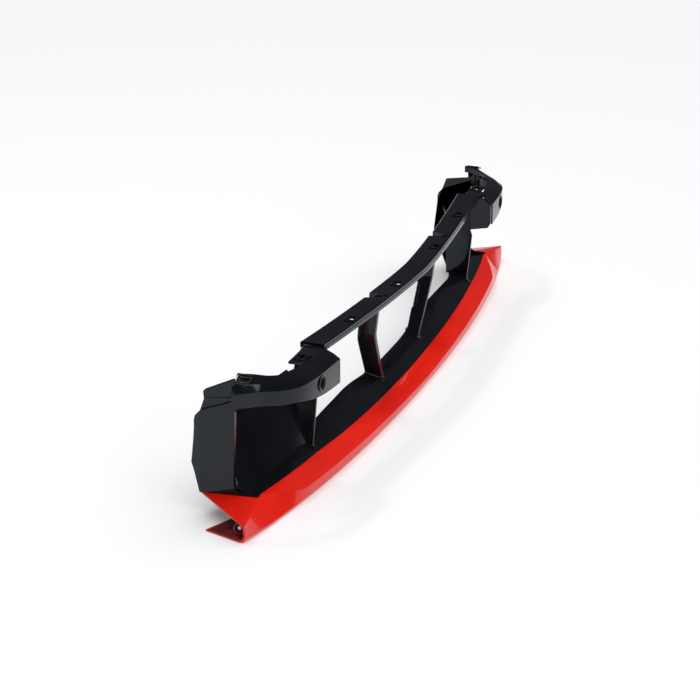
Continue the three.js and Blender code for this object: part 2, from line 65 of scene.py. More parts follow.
def corners(node):
    """Lowest and highest corner of a CAD node, in millimetres."""
    low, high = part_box(node)
    return low / MM, high / MM


# ---- sizes read from the frame ----
NOSE_LEAN = 0.5                 # the lip's front stands this far before its foot
HOOK_CAD_CREST = 20.5           # the CAD hook's crest above its front face
HOOK_END_LAP = 1.5
NOSE = corners("lower_lip")[0].y + NOSE_LEAN
HALF_WIDTH = corners("lower_lip")[1].x
FIN_LOW, FIN_HIGH = corners("duct_fin_right")
FIN_X = (FIN_LOW.x + FIN_HIGH.x) / 2
WALL_X = corners("side_wall_right")[0].x
SIDE_X = corners("side_fascia_right")[1].x
WALL_REAR = corners("side_wall_right")[1].y - NOSE
DECK_HIGH = corners("centre_deck")[1].z
HOOK_TOP = corners("hook_arm_right")[1].z - HOOK_CAD_CREST
HOOK_END_X = corners("hook_arm_right")[0].x - HOOK_END_LAP
RAIL_UNDER = corners("rail_tray_centre")[0].z

# ---- chosen sizes: lip ----
LIP_SKIN = 2.6
NOSE_SWEEP = 52.5               # how far the nose sweeps back at the corner
NOSE_SQUARE, NOSE_FOURTH = 0.72, 0.28
SEAM_FRONT = 30
SEAM_SWEEP = 52
SEAM_LOW = 18
SEAM_RISE = 14
SEAM_LEVEL = 0.62               # share of the half-width where the seam reaches its full height
FOLD_LEAN = 0.8
FOLD_LOW = 11
FOLD_RISE = 8
FOLD_BEND = 1.35
FLANGE_DEPTH = 26
FLANGE_TIP = (564, 113)
FLANGE_CORNER = 9
CORNER_HEIGHT = 24.8
CORNER_LIFT = 4
LIP_SINK = 3.2                  # the deck's front edge reaches this far below the lip's skin

# ---- chosen sizes: deck and ends ----
DECK_SKIN = 3
DECK_REAR = 66
DECK_LOW = 39
DECK_CLIMB = (40, 200)          # the deck's rear edge climbs between these x
DECK_TURN = 70                  # and turns back over this width before the fin
CROWN_BACK = 14.3
CROWN_SHARE = 0.62
PANEL_CREASE = 11.6             # the side panel's crease before its rear edge
WING_REAR = (WALL_X + 3, WALL_REAR - PANEL_CREASE, 27.5)
WING_START = WING_REAR[0] + 0.4
FIN_REAR = (DECK_REAR + 15, DECK_HIGH - 5)
FIN_HALF = 2
RIDGE_X = WALL_X - 5
FOLD_START = 0.74 * HALF_WIDTH

# ---- chosen sizes: hook ----
HOOK_BAND = 20
HOOK_DIP = 14
HOOK_SKIN = 3
HOOK_SHARP = 38
BORE_CLEAR = 0.35
CREST_FRONT = 82

# ---- rounding of corners ----
MIN_HALF_ANGLE = 0.05
STRAIGHT_HALF_ANGLE = 1.5       # a corner flatter than this takes its radius as its reach
EDGE_SHARE = 0.46               # a corner takes at most this share of the edges beside it


def place(x, y, z):
    """A point in the row frame, in metres."""
    return Vector((x, y + NOSE, z)) * MM


def lerp(a, b, u):
    return a + (b - a) * u


def clamp(value, low=0.0, high=1.0):
    return max(low, min(high, value))


def smoothstep(value, low, high):
    u = clamp((value - low) / (high - low))
    return u * u * (3 - 2 * u)


def spread(low, high, steps):
    return [lerp(low, high, i / steps) for i in range(steps + 1)]


def turns(count):
    """Angles of a full turn in equal steps."""
    return [2 * math.pi * i / count for i in range(count)]


# ---- materials ----
def shader_of(made):
    return made.node_tree.nodes["Principled BSDF"]


def material(name, color, roughness, **sockets):
    """A Principled material; other sockets are given by name, such as coat_weight."""
    made = bpy.data.materials.new(name)
    made.use_nodes = True
    shader = shader_of(made)
    shader.inputs["Base Color"].default_value = (*color, 1)
    shader.inputs["Roughness"].default_value = roughness
    for socket, value in sockets.items():
        label = socket.replace("_", " ").title().replace("Ior", "IOR")
        shader.inputs[label].default_value = value
    return made


def noise(made, scale, detail=3):
    tree = made.node_tree
    place_node = tree.nodes.new("ShaderNodeTexCoord")
    texture = tree.nodes.new("ShaderNodeTexNoise")
    texture.inputs["Scale"].default_value = scale
    texture.inputs["Detail"].default_value = detail
    tree.links.new(place_node.outputs["Object"], texture.inputs["Vector"])
    return texture


def ramp(made, texture, low, high, start=0.35, end=0.65):
    """Turns a noise into a colour or a value between low and high."""
    tree = made.node_tree
    made_ramp = tree.nodes.new("ShaderNodeValToRGB")
    made_ramp.color_ramp.elements[0].position = start
    made_ramp.color_ramp.elements[1].position = end
    made_ramp.color_ramp.elements[0].color = (*low, 1)
    made_ramp.color_ramp.elements[1].color = (*high, 1)
    tree.links.new(texture.outputs["Fac"], made_ramp.inputs["Fac"])
    return made_ramp


def vary_color(made, scale, low, high, **span):
    made_ramp = ramp(made, noise(made, scale), low, high, **span)
    made.node_tree.links.new(made_ramp.outputs["Color"], shader_of(made).inputs["Base Color"])


def vary_roughness(made, scale, low, high):
    made_ramp = ramp(made, noise(made, scale, detail=5), (low,) * 3, (high,) * 3)
    made.node_tree.links.new(made_ramp.outputs["Color"], shader_of(made).inputs["Roughness"])


def add_bump(made, scale, strength, distance):
    tree = made.node_tree
    bump = tree.nodes.new("ShaderNodeBump")
    bump.inputs["Strength"].default_value = strength
    bump.inputs["Distance"].default_value = distance
    tree.links.new(noise(made, scale).outputs["Fac"], bump.inputs["Height"])
    tree.links.new(bump.outputs["Normal"], shader_of(made).inputs["Normal"])


def make_gloss_black():
    made = material("gloss_black_plastic", (0.006, 0.006, 0.008), roughness=0.1,
                    specular_ior_level=0.38, specular_tint=(0.82, 0.91, 1.0, 1))
    vary_color(made, scale=14, low=(0.0045, 0.0045, 0.006), high=(0.008, 0.008, 0.0105))
    vary_roughness(made, scale=60, low=0.09, high=0.16)
    add_bump(made, scale=700, strength=0.03, distance=0.0002)
    return made


def make_lip_red():
    made = material("red_gloss_paint", (0.8, 0.012, 0.004), roughness=0.32,
                    specular_ior_level=0.2, coat_weight=0.5, coat_roughness=0.03)
    vary_color(made, scale=9, low=(0.76, 0.010, 0.003), high=(0.84, 0.014, 0.005))
    vary_roughness(made, scale=40, low=0.28, high=0.34)
    return made


def make_overspray():
    made = material("lip_inside_overspray", (0.2, 0.005, 0.004), roughness=0.45)
    vary_color(made, scale=34, low=(0.03, 0.004, 0.004), high=(0.30, 0.008, 0.005),
               start=0.3, end=0.7)
    vary_roughness(made, scale=90, low=0.38, high=0.6)
    add_bump(made, scale=1500, strength=0.12, distance=0.0002)
    return made


def make_satin_black():
    made = material("satin_black_plastic", (0.012, 0.012, 0.013), roughness=0.45)
    vary_color(made, scale=40, low=(0.010, 0.010, 0.011), high=(0.016, 0.016, 0.018))
    vary_roughness(made, scale=300, low=0.38, high=0.55)
    add_bump(made, scale=2600, strength=0.2, distance=0.0001)
    return made


def make_zinc():
    made = material("zinc_plate", (0.55, 0.56, 0.58), roughness=0.35, metallic=1.0)
    vary_color(made, scale=500, low=(0.46, 0.47, 0.49), high=(0.64, 0.64, 0.62))
    vary_roughness(made, scale=900, low=0.25, high=0.45)
    return made


def make_floor():
    return material("pale_floor", (0.86, 0.86, 0.87), roughness=0.6,
                    emission_color=(1, 1, 1, 1), emission_strength=0.14)


BLACK = make_gloss_black()
RED = make_lip_red()
OVERSPRAY = make_overspray()
SATIN = make_satin_black()
ZINC = make_zinc()


# ---- mesh helpers ----
def finish_piece(obj, replaced=()):
    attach(obj, "root")
    if replaced:
        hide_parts(*replaced)
    return obj


def mesh_piece(name, points, faces, look, sharp=32):
    """A closed mesh from millimetre points, faces outwards, smooth except at its sharp edges."""
    mesh = bpy.data.meshes.new(name)
    mesh.from_pydata([place(*p) for p in points], [], faces)
    body = bmesh.new()
    body.from_mesh(mesh)
    bmesh.ops.recalc_face_normals(body, faces=body.faces)
    body.to_mesh(mesh)
    body.free()
    mesh.materials.append(look)
    mesh.shade_smooth()
    mesh.set_sharp_from_angle(angle=math.radians(sharp))
    obj = bpy.data.objects.new(name, mesh)
    bpy.context.scene.collection.objects.link(obj)
    return obj


def rounded(outline, steps=4):
    """A closed outline of (a, b, radius) corners, each corner turned into a small curve."""
    made = []
    for i, (a, b, radius) in enumerate(outline):
        here = Vector((a, b))
        before = Vector(outline[i - 1][:2]) - here
        after = Vector(outline[(i + 1) % len(outline)][:2]) - here
        half = max(before.angle(after, math.pi) / 2, MIN_HALF_ANGLE)
        reach = radius / math.tan(half) if half < STRAIGHT_HALF_ANGLE else radius
        reach = min(reach, EDGE_SHARE * before.length, EDGE_SHARE * after.length)
        start = here + before.normalized() * reach
        end = here + after.normalized() * reach
        for t in spread(0, 1, steps):
            made.append(start * (1 - t) ** 2 + here * 2 * t * (1 - t) + end * t ** 2)
    return made


def loft(name, rings, look, **options):
    """A closed body through rings with the same number of points, capped at both ends."""
    count = len(rings[0])
    faces = [list(range(count))[::-1], [(len(rings) - 1) * count + i for i in range(count)]]
    for r in range(len(rings) - 1):
        for i in range(count):
            a = r * count + i
            b = r * count + (i + 1) % count
            faces.append([a, b, b + count, a + count])
    return mesh_piece(name, [p for ring in rings for p in ring], faces, look, **options)


def across(x, outline):
    """An outline as a ring of points at x."""
    return [(x, y, z) for y, z in outline]


def bevel(obj, width, segments=3, angle=30):
    made = obj.modifiers.new("edges", "BEVEL")
    made.width = width * MM
    made.segments = segments
    made.limit_method = "ANGLE"
    made.angle_limit = math.radians(angle)
    made.use_clamp_overlap = True
    made.harden_normals = True
    return obj


def plate(name, loops, low, high, look, edge, angle=30):
    """A plate between x = low(y, z) and high(y, z), from flat loops that share crease points."""
    keys = []
    for loop in loops:
        keys += [p for p in loop if p not in keys]
    index = {p: i for i, p in enumerate(keys)}
    points = [(low(*p), *p) for p in keys] + [(high(*p), *p) for p in keys]
    count = len(keys)
    faces = [[index[p] for p in loop] for loop in loops]
    faces += [[index[p] + count for p in reversed(loop)] for loop in loops]
    edges = [(loop[i - 1], loop[i]) for loop in loops for i in range(len(loop))]
    for a, b in edges:
        if (b, a) not in edges:
            faces.append([index[a], index[b], index[b] + count, index[a] + count])
    return bevel(mesh_piece(name, points, faces, look), edge, angle=angle)


def skirt(name, footprint, height, look, radius=4.0, sink=1.5, lap=0.15, steps=6):
    """A fillet round a foot, from its footprint (x, y) outwards onto the surface height(x, y)."""
    middle = Vector((sum(p[0] for p in footprint), sum(p[1] for p in footprint))) / len(footprint)
    normals = []
    for i, point in enumerate(footprint):
        before = Vector(point) - Vector(footprint[i - 1])
        after = Vector(footprint[(i + 1) % len(footprint)]) - Vector(point)
        normal = Vector((before.y, -before.x)).normalized() + Vector((after.y, -after.x)).normalized()
        outward = normal.normalized() if normal.length > 1e-6 else Vector((0, 0))
        normals.append(outward if outward.dot(Vector(point) - middle) > 0 else -outward)
    rings = []
    for k in range(steps + 2):
        turn = max(k - 1, 0) / steps * math.pi / 2
        out = radius * (1 - math.sin(turn))
        rise = radius * (1 - math.cos(turn)) - (sink if k == 0 else lap)
        ring = [Vector(p) + n * out for p, n in zip(footprint, normals)]
        rings.append([(q.x, q.y, height(p[0], p[1]) + rise) for q, p in zip(ring, footprint)])
    return loft(name, rings, look, sharp=60)


def foot_strip(left, right, ys):
    """Footprint of a thin web: x = left(y) going back, x = right(y) coming forward."""
    return [(left(y), y) for y in ys] + [(right(y), y) for y in reversed(ys)]


def subtract(obj, tools):
    """Cuts closed tool meshes out of a piece and removes the tools."""
    for tool in tools:
        cut = obj.modifiers.new("cut", "BOOLEAN")
        cut.operation = "DIFFERENCE"
        cut.solver = "EXACT"
        cut.object = tool
    bpy.context.view_layer.update()
    evaluated = obj.evaluated_get(bpy.context.evaluated_depsgraph_get())
    whole = bpy.data.meshes.new_from_object(evaluated)
    obj.modifiers.clear()
    obj.data = whole
    for tool in tools:
        bpy.data.objects.remove(tool)
    return obj


def drum(name, centre, radius, length, count=48):
    """A plain round cutter along y."""
    x, y, z = centre
    rings = [[(x + radius * math.cos(t), y + end * length / 2, z + radius * math.sin(t))
              for t in turns(count)] for end in (-1, 1)]
    return loft(name, rings, BLACK)


# ---- lines of the lip and the deck ----
def share(x):
    return abs(x) / HALF_WIDTH


def nose_y(x):
    """How far the lip's nose has swept back."""
    return NOSE_SWEEP * (NOSE_SQUARE * share(x) ** 2 + NOSE_FOURTH * share(x) ** 4)


def seam(x):
    """Rear edge of the red top face in front of the black deck, as (y, z)."""
    y = SEAM_FRONT + SEAM_SWEEP * share(min(abs(x), RIDGE_X)) ** 3
    return y, SEAM_LOW + SEAM_RISE * min(1, share(x) / SEAM_LEVEL) ** 1.5


# Where the crease comes up to the seam, and where it ends at the lip's corner, as (y, z).
RIDGE = (seam(RIDGE_X)[0] - 3.5, seam(RIDGE_X)[1] + 1.5)
LIP_CORNER = (nose_y(HALF_WIDTH) + 1, CORNER_HEIGHT)


def fold(x):
    """Crease between the lip's front face and its top face, as (y, z)."""
    reach = abs(x)
    if reach <= FOLD_START:
        return nose_y(reach) + FOLD_LEAN * share(reach), FOLD_LOW + FOLD_RISE * share(reach)
    if reach <= RIDGE_X:
        u = ((reach - FOLD_START) / (RIDGE_X - FOLD_START)) ** FOLD_BEND
        start = fold(FOLD_START)
        return lerp(start[0], RIDGE[0], u), lerp(start[1], RIDGE[1], u)
    u = (reach - RIDGE_X) / (HALF_WIDTH - RIDGE_X)
    return lerp(RIDGE[0], LIP_CORNER[0], u), lerp(RIDGE[1], LIP_CORNER[1], u)


def lip_edge(x, on_wing):
    """Rear edge of the lip's top face, which is the seam or the wing's edge, as (y, z)."""
    if not on_wing:
        return seam(x)
    u = (abs(x) - WING_REAR[0]) / (HALF_WIDTH - WING_REAR[0])
    return lerp(WING_REAR[1], LIP_CORNER[0] + 3, u), lerp(WING_REAR[2], CORNER_HEIGHT - 0.4, u)


def flange_rear(x):
    """Rear edge of the lip's flat underside."""
    reach = abs(x)
    middle = nose_y(min(reach, FOLD_START)) + FLANGE_DEPTH
    if reach <= FOLD_START:
        return middle
    if reach <= FLANGE_TIP[0]:
        u = (reach - FOLD_START) / (FLANGE_TIP[0] - FOLD_START)
        return lerp(middle, FLANGE_TIP[1], u)
    u = (reach - FLANGE_TIP[0]) / (HALF_WIDTH - FLANGE_TIP[0])
    return lerp(FLANGE_TIP[1], nose_y(HALF_WIDTH) + FLANGE_CORNER, u)


def lip_outline(x, on_wing):
    """Section of the lip: outside from the flange up to the edge, then back along the inside."""
    nose = nose_y(x)
    lift = CORNER_LIFT * clamp((abs(x) - RIDGE_X) / (HALF_WIDTH - RIDGE_X)) ** 2
    fy, fz = fold(x)
    ey, ez = lip_edge(x, on_wing)
    rear = flange_rear(x)
    return rounded([
        (rear, 0, 0.8), (nose + 2.4, lift * 0.5, 2.5), (nose - 0.2, lift + 3.6, 2.5),
        (fy, fz, 2.6), (ey, ez, 0.8),
        (ey, ez - LIP_SKIN, 0.8), (fy + 2.3, fz - LIP_SKIN - 0.4, 1.5),
        (nose + LIP_SKIN, lift + 4.6, 1.5), (nose + 4.8, lift * 0.5 + LIP_SKIN, 1.5),
        (rear, LIP_SKIN, 0.8),
    ])


def make_lip():
    side = [(x, False) for x in spread(0, FOLD_START, 70)]
    side += [(x, False) for x in spread(FOLD_START, RIDGE_X, 26)[1:]]
    side += [(WING_START - 0.3, False)]
    side += [(x, True) for x in spread(WING_START, FLANGE_TIP[0], 16)]
    side += [(x, True) for x in spread(FLANGE_TIP[0], HALF_WIDTH, 5)[1:]]
    stations = [(-x, on_wing) for x, on_wing in reversed(side[1:])] + side
    rings = [across(x, lip_outline(x, on_wing)) for x, on_wing in stations]
    obj = loft("lip_shell", rings, RED, sharp=40)
    obj.data.materials.append(OVERSPRAY)
    # The overspray starts in the corner under the top edge and stops before the flange's rear.
    count = len(rings[0])
    per_corner = count // 10
    first, last = 5 * per_corner + 3, count - 3
    for i, face in enumerate(obj.data.polygons[2:]):
        if first <= i % count < last:
            face.material_index = 1
    return finish_piece(obj, ["lower_lip"])


def deck_rear(x):
    """Rear edge of the deck, as (y, z)."""
    reach = abs(x)
    if reach <= FIN_X - DECK_TURN:
        return DECK_REAR, lerp(DECK_LOW, DECK_HIGH, smoothstep(reach, *DECK_CLIMB))
    if reach <= FIN_X:
        u = (reach - FIN_X + DECK_TURN) / DECK_TURN
        return lerp(DECK_REAR, FIN_REAR[0], u * u), lerp(DECK_HIGH, FIN_REAR[1], u)
    u = (reach - FIN_X) / (WALL_X - FIN_X)
    return lerp(FIN_REAR[0], WING_REAR[1] - 2, u), lerp(FIN_REAR[1], WING_REAR[2] + 1, u)


def deck_crown(x):
    """Line where the deck stops climbing steeply, as (y, z)."""
    ez = seam(x)[1]
    return seam(x)[0] + CROWN_BACK, ez + CROWN_SHARE * (deck_rear(x)[1] - ez)


def deck_top(x, y):
    """Height of the deck's upper face."""
    line = [seam(x), deck_crown(x), deck_rear(x)]
    a, b = line[:2] if y < line[1][0] else line[1:]
    return lerp(a[1], b[1], (y - a[0]) / (b[0] - a[0]))


def deck_outline(x):
    ey, ez = seam(x)
    cy, cz = deck_crown(x)
    ry, rz = deck_rear(x)
    foot = ez - LIP_SKIN - LIP_SINK
    return rounded([
        (ey + 0.25, ez - 0.1, 0.5), (cy, cz, 7), (ry, rz, 1.6), (ry, rz - DECK_SKIN, 0.8),
        (cy + 1, cz - DECK_SKIN, 6), (ey + 2.4, foot, 0.6), (ey + 0.25, foot, 0.6),
    ], steps=5)


def make_deck():
    edge = WALL_X - 0.4
    rings = [across(x, deck_outline(x)) for x in spread(-edge, edge, 200)]
    obj = loft("deck_shell", rings, BLACK, sharp=40)
    return finish_piece(obj, ["centre_deck", "duct_floor_right", "duct_floor_left"])


# ---- fins, duct walls, side shells, shoulder ----
def make_fin(side, sign):
    """Upright web beside a duct, whose upper front leans outboard before a slanting crease."""
    top = FIN_HIGH.z
    sink = 0.6
    lean_share = 0.1
    front = seam(FIN_X)[0] + 5
    rear = FIN_REAR[0] + 3
    low_crease = (DECK_REAR - 18, DECK_HIGH - 13)
    high_crease = (DECK_REAR + 5, top - 18)
    slope = (high_crease[1] - low_crease[1]) / (high_crease[0] - low_crease[0])

    def level(u):
        return lerp(FIN_REAR[1], top, u)

    def lean(y, z):
        return lean_share * max(0.0, (z - low_crease[1]) / slope - (y - low_crease[0]))

    def inboard(y, z):
        return sign * (FIN_X - FIN_HALF + lean(y, z))

    def outboard(y, z):
        return sign * (FIN_X + FIN_HALF + lean(y, z))

    web = [low_crease, (front, deck_top(FIN_X, front) - sink),
           (deck_crown(FIN_X)[0], deck_crown(FIN_X)[1] - sink),
           (rear, FIN_REAR[1] - sink), (rear, level(0.36)), high_crease]
    facet = [low_crease, high_crease, (DECK_REAR - 6, top), (DECK_REAR - 19, top),
             (DECK_REAR - 19.5, level(0.6)), (DECK_REAR - 24.5, level(0.48))]
    obj = plate(f"fin_{side}", [web, facet], inboard, outboard, BLACK, 0.9, angle=20)
    finish_piece(obj, [f"duct_fin_{side}"])

    half_foot = 1.6
    ys = spread(seam(FIN_X)[0] + 6, FIN_REAR[0] - 1, 12)
    footprint = foot_strip(lambda y: sign * (FIN_X - half_foot),
                           lambda y: sign * (FIN_X + half_foot), ys)
    collar = skirt(f"fin_foot_{side}", footprint, deck_top, BLACK, radius=4.5)
    finish_piece(collar)


def make_duct_back(side, sign):
    """Blank wall of a duct, which leans back from a rounded foot on the duct's floor."""
    toe = 12
    skin = 3
    sink = 1.5
    lap = 0.15
    rings = []
    for x in spread(FIN_X + 1, WALL_X + 0.5, 16):
        u = (x - FIN_X) / (WALL_X - FIN_X)
        foot = lerp(FIN_REAR[0] - 27, WING_REAR[1] - 52, u)
        head_y = lerp(FIN_REAR[0] + 2, WING_REAR[1] - 5, u)
        head_z = lerp(HOOK_TOP - 27, HOOK_TOP - 55, u)
        floor = deck_top(x, min(foot, deck_rear(x)[0])) + lap
        ahead = deck_top(x, foot - toe) + lap
        rings.append(across(sign * x, rounded([
            (foot - toe, ahead - sink, 0.2), (foot - toe, ahead, 0.2), (foot, floor, 9),
            (head_y, head_z, 1.2), (head_y + skin, head_z, 1.2), (foot + skin, floor - sink, 0.5),
        ], steps=6)))
    obj = loft(f"duct_back_wall_{side}", rings, BLACK, sharp=40)
    finish_piece(obj, [f"duct_back_{side}"])


def make_side_shell(side, sign):
    """Side panel of an end, from the side wall's inner face out, with the duct's rolled edge."""
    sill = 27.3
    front_edge = 62
    opening_sill = 33.2
    taper = 0.24
    head = HOOK_TOP - HOOK_BAND
    crease = [(WALL_REAR - PANEL_CREASE, sill), (WALL_REAR - 15.2, HOOK_TOP - 29)]
    opening = [(front_edge, opening_sill, 0.5), (96, opening_sill, 26), (91.4, head, 9),
               (CREST_FRONT, head, 0.6)]
    hook_join = [(CREST_FRONT + 8, head + 4, 0.6), (CREST_FRONT + 8, HOOK_TOP - 4, 0.6)]
    # The first corner is left sharp, so its nine curve points are dropped.
    rim = rounded([(front_edge, sill + 1.5, 0.5), *opening, *hook_join], steps=8)
    edge = [(round(p.x, 4), round(p.y, 4)) for p in rim[9:]]
    front = [(float(front_edge), sill + 1.5), *edge, crease[1], crease[0]]
    rear = [*crease, (WALL_REAR - 7.5, HOOK_TOP - 37.5), (WALL_REAR - 5.7, HOOK_TOP - 44),
            (WALL_REAR - 5.5, HOOK_TOP - 55), (WALL_REAR - 1, 66.5)]

    def outer(y, z):
        u = (z - crease[0][1]) / (crease[1][1] - crease[0][1])
        beyond = y - lerp(crease[0][0], crease[1][0], u)
        return sign * (SIDE_X - taper * max(0.0, beyond))

    obj = plate(f"side_shell_{side}", [front, rear], lambda y, z: sign * WALL_X, outer, BLACK,
                1.5, angle=12)
    finish_piece(obj, [f"side_fascia_{side}"])


def make_shoulder():
    low, high = corners("left_shoulder")
    front, rear = low.y - NOSE - 2, high.y - NOSE
    loop = [(front, HOOK_TOP - 8), (rear, HOOK_TOP - 14), (rear + 1, 166.0), (rear - 3, 170.0),
            (front + 3, HOOK_TOP + 17.5), (front, HOOK_TOP + 18)]
    obj = plate("shoulder_left", [loop], lambda y, z: low.x, lambda y, z: high.x, BLACK, 1.3)
    finish_piece(obj, ["left_shoulder"])


# ---- hook arms ----
# Front and back line in plan, as (x, y), from the side panel to past the hook's free end.
HOOK_FRONT = [
    (SIDE_X - 0.05, 112), (SIDE_X - 0.05, 96), (SIDE_X - 1.0, CREST_FRONT + 2),
    (WALL_X - 9, 65), (WALL_X - 18, 48), (WALL_X - 30, 32), (WALL_X - 52, 20),
    (419.7, 13), (HOOK_END_X, 8.5), (HOOK_END_X - 50, 4),
]
HOOK_BACK = [
    (SIDE_X - 24, 112), (SIDE_X - 24, 96), (SIDE_X - 24.5, 87), (SIDE_X - 30, 74),
    (SIDE_X - 39, 61), (SIDE_X - 52, 51), (SIDE_X - 68, 45),
    (421, 38), (HOOK_END_X + 2, 29.5), (HOOK_END_X - 48, 22),
]


def curve_point(line, u):
    """Point of a smooth curve through line, leaving out its two end points."""
    place_on = clamp(u, 0, 0.99999) * (len(line) - 3)
    i = int(place_on)
    t = place_on - i
    a, b, c, d = (Vector(p) for p in line[i:i + 4])
    return 0.5 * (2 * b + (c - a) * t + (2 * a - 5 * b + 4 * c - d) * t ** 2
                  + (3 * b - a - 3 * c + d) * t ** 3)


def hook_outline(u, depth):
    """Section of the hook at u along it, as (distance behind its front line, z, radius)."""
    rise = smoothstep(u, 0.2, 0.6)
    crest = lerp(HOOK_TOP + 20, HOOK_TOP + 12.5, rise)
    facet = (lerp(3.5, 9, rise), lerp(HOOK_TOP + 11, HOOK_TOP + 6.5, rise))
    low = HOOK_TOP - HOOK_BAND - HOOK_DIP * smoothstep(u, 0.6, 1)
    top = HOOK_TOP - 6 * (1 - smoothstep(u, 0, 0.13))
    skirt_low = lerp(crest - 12, crest - HOOK_SKIN - 1.5, smoothstep(u, 0.25, 0.55))
    t = HOOK_SKIN
    return rounded([
        (0, low, 1.2), (0, top, 1.8), (*facet, 5), (depth, crest, 2.2), (depth, skirt_low, 0.5),
        (depth - t, skirt_low, 0.5), (depth - t, crest - t, 1.2),
        (facet[0] + t * 0.6, facet[1] - t * 0.9, 3), (t, top - t, 1.2), (t, low, 1.2),
    ])


def make_hook(side, sign):
    rings = []
    for u in spread(0, 1, 72):
        front = curve_point(HOOK_FRONT, u)
        back = curve_point(HOOK_BACK, u)
        depth = (back - front).length
        inward = (back - front) / depth
        rings.append([(sign * (front.x + inward.x * p.x), front.y + inward.y * p.x, p.y)
                      for p in hook_outline(u, depth)])
    obj = loft(f"hook_shell_{side}", rings, BLACK, sharp=HOOK_SHARP)
    low, high = corners(f"sensor_holder_{side}")
    middle = (low + high) / 2
    radius = (high.z - low.z) / 2 + BORE_CLEAR
    bore = drum("bore_tool", (middle.x, middle.y - NOSE - 4, middle.z), radius, 34)
    subtract(obj, [bore])
    obj.data.set_sharp_from_angle(angle=math.radians(HOOK_SHARP))
    finish_piece(obj, [f"hook_arm_{side}"])
    make_sensor_rim(side, middle, radius)


def make_hook_end(side, sign):
    """Plate that closes the free end of the hook, up to its crest."""
    low, high = corners(f"hook_end_{side}")
    front = low.y - NOSE
    sill = low.z + 13
    outline = [(front, sill), (front + 4.2, sill - 7), (front + 34.2, low.z),
               (front + 37.2, HOOK_TOP - 10), (front + 33.2, HOOK_TOP + 2),
               (front + 21, HOOK_TOP + 11.8), (front + 9, HOOK_TOP + 6), (front, HOOK_TOP - 0.5)]
    inner, outer = sorted((abs(low.x), abs(high.x)))
    obj = plate(f"hook_end_plate_{side}", [outline], lambda y, z: sign * inner,
                lambda y, z: sign * outer, BLACK, 0.9)
    finish_piece(obj, [f"hook_end_{side}"])


def make_sensor_rim(side, middle, radius):
    """Thin raised ring round the sensor bore."""
    face = corners(f"sensor_holder_{side}")[0].y - NOSE
    count = 48
    proud, depth = -0.9, 3
    profile = rounded([(radius + 1.3, proud, 0.4), (radius + 1.3, depth, 0.4),
                       (radius - 0.5, depth, 0.4), (radius - 0.5, proud, 0.4)])
    points = [(middle.x + p.x * math.cos(t), face + p.y, middle.z + p.x * math.sin(t))
              for t in turns(count) for p in profile]
    size = len(profile)
    faces = []
    for r in range(count):
        here, beyond = r * size, (r + 1) % count * size
        for i in range(size):
            j = (i + 1) % size
            faces.append([here + i, here + j, beyond + j, beyond + i])
    finish_piece(mesh_piece(f"sensor_rim_{side}", points, faces, BLACK))


# ---- struts ----
NOTCH_X = (corners("rail_tray_centre")[1].x + corners("rail_tray_right")[0].x) / 2
STRUT_X = 87
NOTCH_LOW, NOTCH_HIGH, NOTCH_DEPTH = DECK_HIGH + 20, DECK_HIGH + 50, 7
NOTCH_EASE = 2


def rail_y(x):
    """Front face of the rail."""
    return corners("rail_front_strip")[0].y - NOSE + 26 * (abs(x) / 340) ** 1.4


# Front and rear edge at each level, as (x, y, share of the way up from the deck to the rail).
STRUT_LEVELS = [
    ((STRUT_X - 5, DECK_REAR - 22, -0.2), (STRUT_X + 6, DECK_REAR - 1, -0.14)),
    ((NOTCH_X - 9, DECK_REAR - 28, 0.52), (NOTCH_X - 4, DECK_REAR - 3.5, 0.48)),
    ((NOTCH_X - 9, DECK_REAR - 32, 0.81), (NOTCH_X - 4, DECK_REAR - 7, 0.81)),
    ((NOTCH_X - 0.5, rail_y(NOTCH_X) + 14, 1.03), (NOTCH_X + 2.5, rail_y(NOTCH_X) + 27, 1.03)),
]


def strut_level(t):
    """Front and rear edge of a strut as (x, y, z), with its kinks eased."""
    reach = 0.12

    def edge(place_on, which):
        place_on = clamp(place_on, 0, len(STRUT_LEVELS) - 1.001)
        i = int(place_on)
        below, above = STRUT_LEVELS[i][which], STRUT_LEVELS[i + 1][which]
        x, y, rise = (lerp(a, b, place_on - i) for a, b in zip(below, above))
        return Vector((x, y, lerp(DECK_HIGH, RAIL_UNDER, rise)))

    places = [t + reach * k for k in (-1, -0.5, 0, 0.5, 1)]
    return tuple(sum((edge(p, which) for p in places), Vector((0, 0, 0))) / len(places)
                 for which in (0, 1))


def make_strut(side, sign):
    """Kinked web from deck to rail, notched at the rear but for a thin skin outboard."""
    half, skin = 4.5, 2.2
    rings = []
    for t in spread(0, 3, 60):
        front, rear = strut_level(t)
        depth = (rear - front).length
        notch = NOTCH_DEPTH * smoothstep(rear.z, NOTCH_LOW - NOTCH_EASE, NOTCH_LOW + NOTCH_EASE)
        notch *= 1 - smoothstep(rear.z, NOTCH_HIGH - NOTCH_EASE, NOTCH_HIGH + NOTCH_EASE)
        back = depth - notch
        outline = rounded([
            (half, 0, 1.6), (half, depth, 0.7), (half - skin, depth, 0.7),
            (half - 2 * skin, back, 0.9), (-half, back, 1.2), (-half, 0, 1.6),
        ], steps=3)
        rings.append([])
        for across_web, along in outline:
            v = along / depth
            rings[-1].append((sign * (lerp(front.x, rear.x, v) + across_web),
                              lerp(front.y, rear.y, v), lerp(front.z, rear.z, v)))
    obj = loft(f"strut_{side}", rings, BLACK, sharp=35)
    finish_piece(obj, [f"rail_strut_{side}"])

    front, rear = strut_level(0.1)
    lean = (rear.x - front.x) / (rear.y - front.y)
    footprint = foot_strip(lambda y: sign * (front.x - half + (y - front.y) * lean),
                           lambda y: sign * (front.x + half + (y - front.y) * lean),
                           spread(front.y, rear.y, 6))
    collar = skirt(f"strut_foot_{side}", footprint, deck_top, BLACK, radius=3.6)
    finish_piece(collar)


